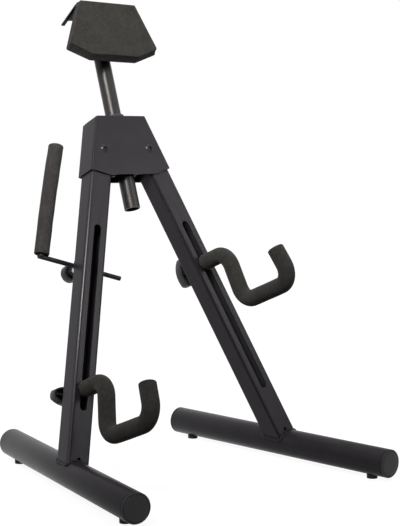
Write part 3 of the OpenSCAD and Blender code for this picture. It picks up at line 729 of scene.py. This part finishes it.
def meeting(a, b):
    """Where two edges meet, each given as a point and a direction."""
    det = a[1].x * b[1].y - a[1].y * b[1].x
    gap = b[0] - a[0]
    return a[0] + a[1] * ((gap.x * b[1].y - gap.y * b[1].x) / det)


def outline(share, inset, corner=2.2, per_corner=7, per_edge=9):
    """Points round the pad, share goes from its back outline to its front one."""
    spots = [Vector(b).lerp(Vector(f), share) for b, f in zip(PAD_BACK, PAD_FRONT)]
    middle = sum(spots, Vector((0, 0))) / 6
    edges = []
    for spot, after in zip(spots, spots[1:] + spots[:1]):
        run = (after - spot).normalized()
        inward = Vector((run.y, -run.x))
        if inward.dot(middle - spot) < 0:
            inward = -inward
        edges.append((spot + inward * inset, run))
    arcs = []
    for before, edge in zip(edges[-1:] + edges[:-1], edges):
        spot, back, ahead = meeting(before, edge), -before[1], edge[1]
        half = back.angle(ahead) / 2
        hub = spot + (back + ahead).normalized() * corner / math.sin(half)
        first, last = (spot + way * corner / math.tan(half) for way in (back, ahead))
        guesses = (first.lerp(last, k / (per_corner - 1)) - hub for k in range(per_corner))
        arcs.append([hub + guess.normalized() * corner for guess in guesses])
    points = []
    for arc, after in zip(arcs, arcs[1:] + arcs[:1]):
        points += arc + [arc[-1].lerp(after[0], k / per_edge) for k in range(1, per_edge)]
    return points


print(len(outline(0, 0)), "points round the pad")


# %% Foam slab with soft edges and a crown
def pad_rings(back=-23.55, front=-32.0, soft=0.9, crown=0.25):
    """Rings from the middle of the pad's back, round its edges, to the middle of its face."""
    rings = []

    def add(share, inset, y, scale=1.0):
        ring = []
        for p in outline(share, inset):
            spot = Vector((p.x, 0, p.y)) * scale + Vector((0, y, 2 * (1 - scale)))
            ripple = noise.noise(spot * 0.05) * 0.18 if scale < 1 else 0
            ring.append(spot + Vector((0, ripple, 0)))
        rings.append(ring)

    for scale in (0.3, 0.6, 0.9):
        add(0, 0.9, back, scale)
    add(0, 0.9, back)
    add(0.02, 0.25, back - 0.3)
    add(0.05, 0.05, back - 0.8)
    for k in range(1, 6):
        share = k / 6
        add(share, 0.05 + 0.35 * math.sin(math.pi * share), back + (front + soft - back) * share)
    for k in range(6):
        bow = math.radians(90 * k / 5)
        add(1, 0.05 + soft * (1 - math.cos(bow)), front + soft * (1 - math.sin(bow)) + crown)
    for k in range(1, 15):
        scale = 1 - k / 15
        add(1, 0.05 + soft, front + crown - crown * (1 - scale ** 3), scale)
    return rings


pad = loft("pad_foam_slab", pad_rings(), head_frame, foam_pad)
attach(pad, "head")
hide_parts("pad_foam")
print(pad.name, len(pad.data.vertices), "points")

# %% [markdown]
# ## The thread of the eye bolt
# Behind the leg a short stretch of the side arm's eye bolt shows between its eye and its
# knob. A thread is a height that depends on how far along the bolt a point is and on its
# angle, so one ring every tenth of a millimetre is enough to draw the ridge.

# %% Thread on the bare part of the bolt
PITCH, RIDGE, CORE, THREAD_FROM, THREAD_STEP = 1.0, 0.24, 3.01, 26.1, 0.1


def thread_rings(count=104, around=24, fade=6):
    rings = []
    for k in range(count):
        y = THREAD_FROM + k * THREAD_STEP
        ring = []
        for i in range(around):
            turn = i / around
            phase = (y / PITCH - turn) % 1
            ridge = RIDGE * (1 - abs(2 * phase - 1))
            radius = CORE + ridge * min(1, k / fade, (count - 1 - k) / fade)
            angle = math.tau * turn
            ring.append(Vector((math.cos(angle) * radius, y, math.sin(angle) * radius)))
        rings.append(ring)
    return rings


rings = thread_rings()
thread = loft("arm_bolt_thread", rings, leg_frame(LEFT, ARM_DOWN), zinc, (False, False))
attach(thread, "arm_bolt")
print(thread.name, "with", round(len(rings) * THREAD_STEP / PITCH), "turns")

# %% [markdown]
# ## Floor, backdrop and light
# The photograph is a catalogue cut-out on white. The floor and the world are white only
# for rays that come straight from the camera, from a gloss or through glass, so they add
# almost no light to the object. The floor's glow is a little under white near the stand,
# which leaves room for its shadow.

# %% What counts as seen directly
def seen_directly(tree):
    """One for rays from the camera, from a gloss or through glass, none for the rest."""
    rays = tree.nodes.new("ShaderNodeLightPath")
    total = rays.outputs["Is Camera Ray"]
    for name in ("Is Glossy Ray", "Is Transmission Ray"):
        either = tree.nodes.new("ShaderNodeMath")
        either.operation = "MAXIMUM"
        tree.links.new(total, either.inputs[0])
        tree.links.new(rays.outputs[name], either.inputs[1])
        total = either.outputs[0]
    return total


print("ray switch ready")

# %% A white floor that keeps its shadow
FLOOR_HALF = 6

floor_mesh = bpy.data.meshes.new("floor")
corners = [(x * FLOOR_HALF, y * FLOOR_HALF, 0) for x, y in ((-1, -1), (1, -1), (1, 1), (-1, 1))]
floor_mesh.from_pydata(corners, [], [(0, 1, 2, 3)])
floor = bpy.data.objects.new("floor", floor_mesh)
bpy.context.scene.collection.objects.link(floor)
paper = Finish("floor_paper", (0.16, 0.16, 0.16), 0.9, Specular_IOR_Level=0.0)
away = paper.node("VectorMath", {"operation": "LENGTH"}, {"Vector": paper.place()}, out=1)
white_share = 0.92 + away.smooth(0.6, 3.5) * 0.08
glow = paper.node("Emission", None, {
    "Color": (1, 1, 1, 1), "Strength": white_share * Wire(paper, seen_directly(paper.tree))})
lit_and_glowing = paper.tree.nodes.new("ShaderNodeAddShader")
surface = paper.tree.nodes["Material Output"].inputs["Surface"]
paper.tree.links.new(paper.shader.outputs[0], lit_and_glowing.inputs[0])
paper.tree.links.new(glow.socket, lit_and_glowing.inputs[1])
paper.tree.links.new(lit_and_glowing.outputs[0], surface)
floor_mesh.materials.append(paper.material)
print("floor ready")

# %% [markdown]
# The world is a soft grey light that is brighter from behind the stand and to its right,
# where the camera isn't, so that the back doesn't go black. A dot product with that
# direction sets its strength.

# %% World
BEHIND = (0.6, 0.8, 0)

world = bpy.data.worlds.new("world")
world.use_nodes = True
bpy.context.scene.world = world
sky = world.node_tree
ambient = sky.nodes["Background"]
ambient.inputs["Color"].default_value = (0.97, 0.96, 1, 1)
facing = sky.nodes.new("ShaderNodeVectorMath")
facing.operation = "DOT_PRODUCT"
facing.inputs[1].default_value = BEHIND
sky.links.new(sky.nodes.new("ShaderNodeTexCoord").outputs["Generated"], facing.inputs[0])
strength = sky.nodes.new("ShaderNodeMapRange")
for socket, value in (("From Min", 0.1), ("From Max", 0.9), ("To Min", 0.07), ("To Max", 1.1)):
    strength.inputs[socket].default_value = value
sky.links.new(facing.outputs["Value"], strength.inputs["Value"])
sky.links.new(strength.outputs[0], ambient.inputs["Strength"])
white = sky.nodes.new("ShaderNodeBackground")
white.inputs["Color"].default_value = (1, 1, 1, 1)
choose = sky.nodes.new("ShaderNodeMixShader")
sky.links.new(seen_directly(sky), choose.inputs[0])
sky.links.new(ambient.outputs[0], choose.inputs[1])
sky.links.new(white.outputs[0], choose.inputs[2])
sky.links.new(choose.outputs[0], sky.nodes["World Output"].inputs["Surface"])
print("world ready")

# %% [markdown]
# Four broad lamps do the rest. The key lights the stand from its left, and falls off
# towards the floor because a narrow spread holds its light on the upper half. The fill
# from the right is held in the same way.

# %% Soft lamps
def soft_lamp(name, place, aim, size, power, colour=(1, 1, 1), spread=180):
    lamp = bpy.data.lights.new(name, "AREA")
    lamp.shape, lamp.size, lamp.size_y = "RECTANGLE", size[0], size[1]
    lamp.energy, lamp.color, lamp.spread = power, colour, math.radians(spread)
    obj = bpy.data.objects.new(name, lamp)
    obj.location = place
    obj.rotation_euler = (Vector(aim) - Vector(place)).to_track_quat("-Z", "Y").to_euler()
    bpy.context.scene.collection.objects.link(obj)


soft_lamp("key", (-1.22, -0.79, 1.52), (0, 0.1, 0.6), (1.1, 0.7), 5.6, (1.0, 0.97, 0.92), spread=46)
soft_lamp("over", (-0.1, 0, 1.25), (0, 0.05, 0.3), (0.8, 0.8), 0.9)
soft_lamp("fill", (1.3, -1.8, 1.3), (0, 0.1, 0.62), (0.6, 0.5), 1.1, spread=34)
soft_lamp("top", (-0.4, 0.8, 2.4), (0, 0, 0.2), (1.6, 1.0), 4.5)
bpy.context.scene.view_settings.view_transform = "Standard"
print("lamps ready")
